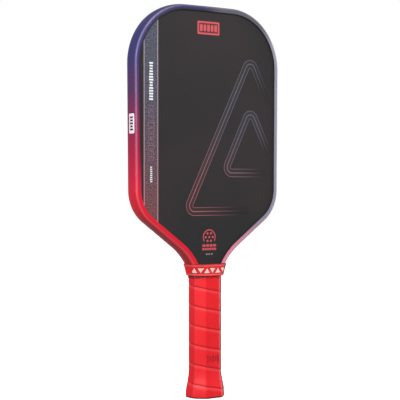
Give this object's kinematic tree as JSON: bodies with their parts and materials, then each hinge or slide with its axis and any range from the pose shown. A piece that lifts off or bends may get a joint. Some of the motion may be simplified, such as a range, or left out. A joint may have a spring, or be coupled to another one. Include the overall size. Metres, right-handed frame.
{
  "type": "pickleball paddle",
  "caption": "Long flat-faced paddle with rounded head, channel edge guard, tapered throat and a wrapped eight-sided handle with flared butt.",
  "frame": {"origin": "middle of the butt end, on its end plane", "axes": "+Z from the butt up the handle to the crown, +X across the face, front face towards -Y"},
  "size_m": [0.1904, 0.0358, 0.4191],
  "materials": {
    "carbon_face": "satin",
    "honeycomb": "satin",
    "rim_foam": "matte",
    "guard": "satin",
    "handle_foam": "matte",
    "pallet": "matte",
    "cap": "satin",
    "medallion": "satin",
    "wrap": "satin",
    "tape": "satin",
    "collar": "satin"
  },
  "bodies": {
    "root": {"front_face_sheet": "carbon_face", "back_face_sheet": "carbon_face", "honeycomb_core": "honeycomb", "foam_edge_wall": "rim_foam", "edge_guard": "guard", "handle_core": "handle_foam", "front_handle_pallet": "pallet", "back_handle_pallet": "pallet", "butt_cap": "cap", "butt_medallion": "medallion", "grip_wrap": "wrap", "finishing_tape": "tape", "collar_band": "collar"}
  },
  "joints": []
}
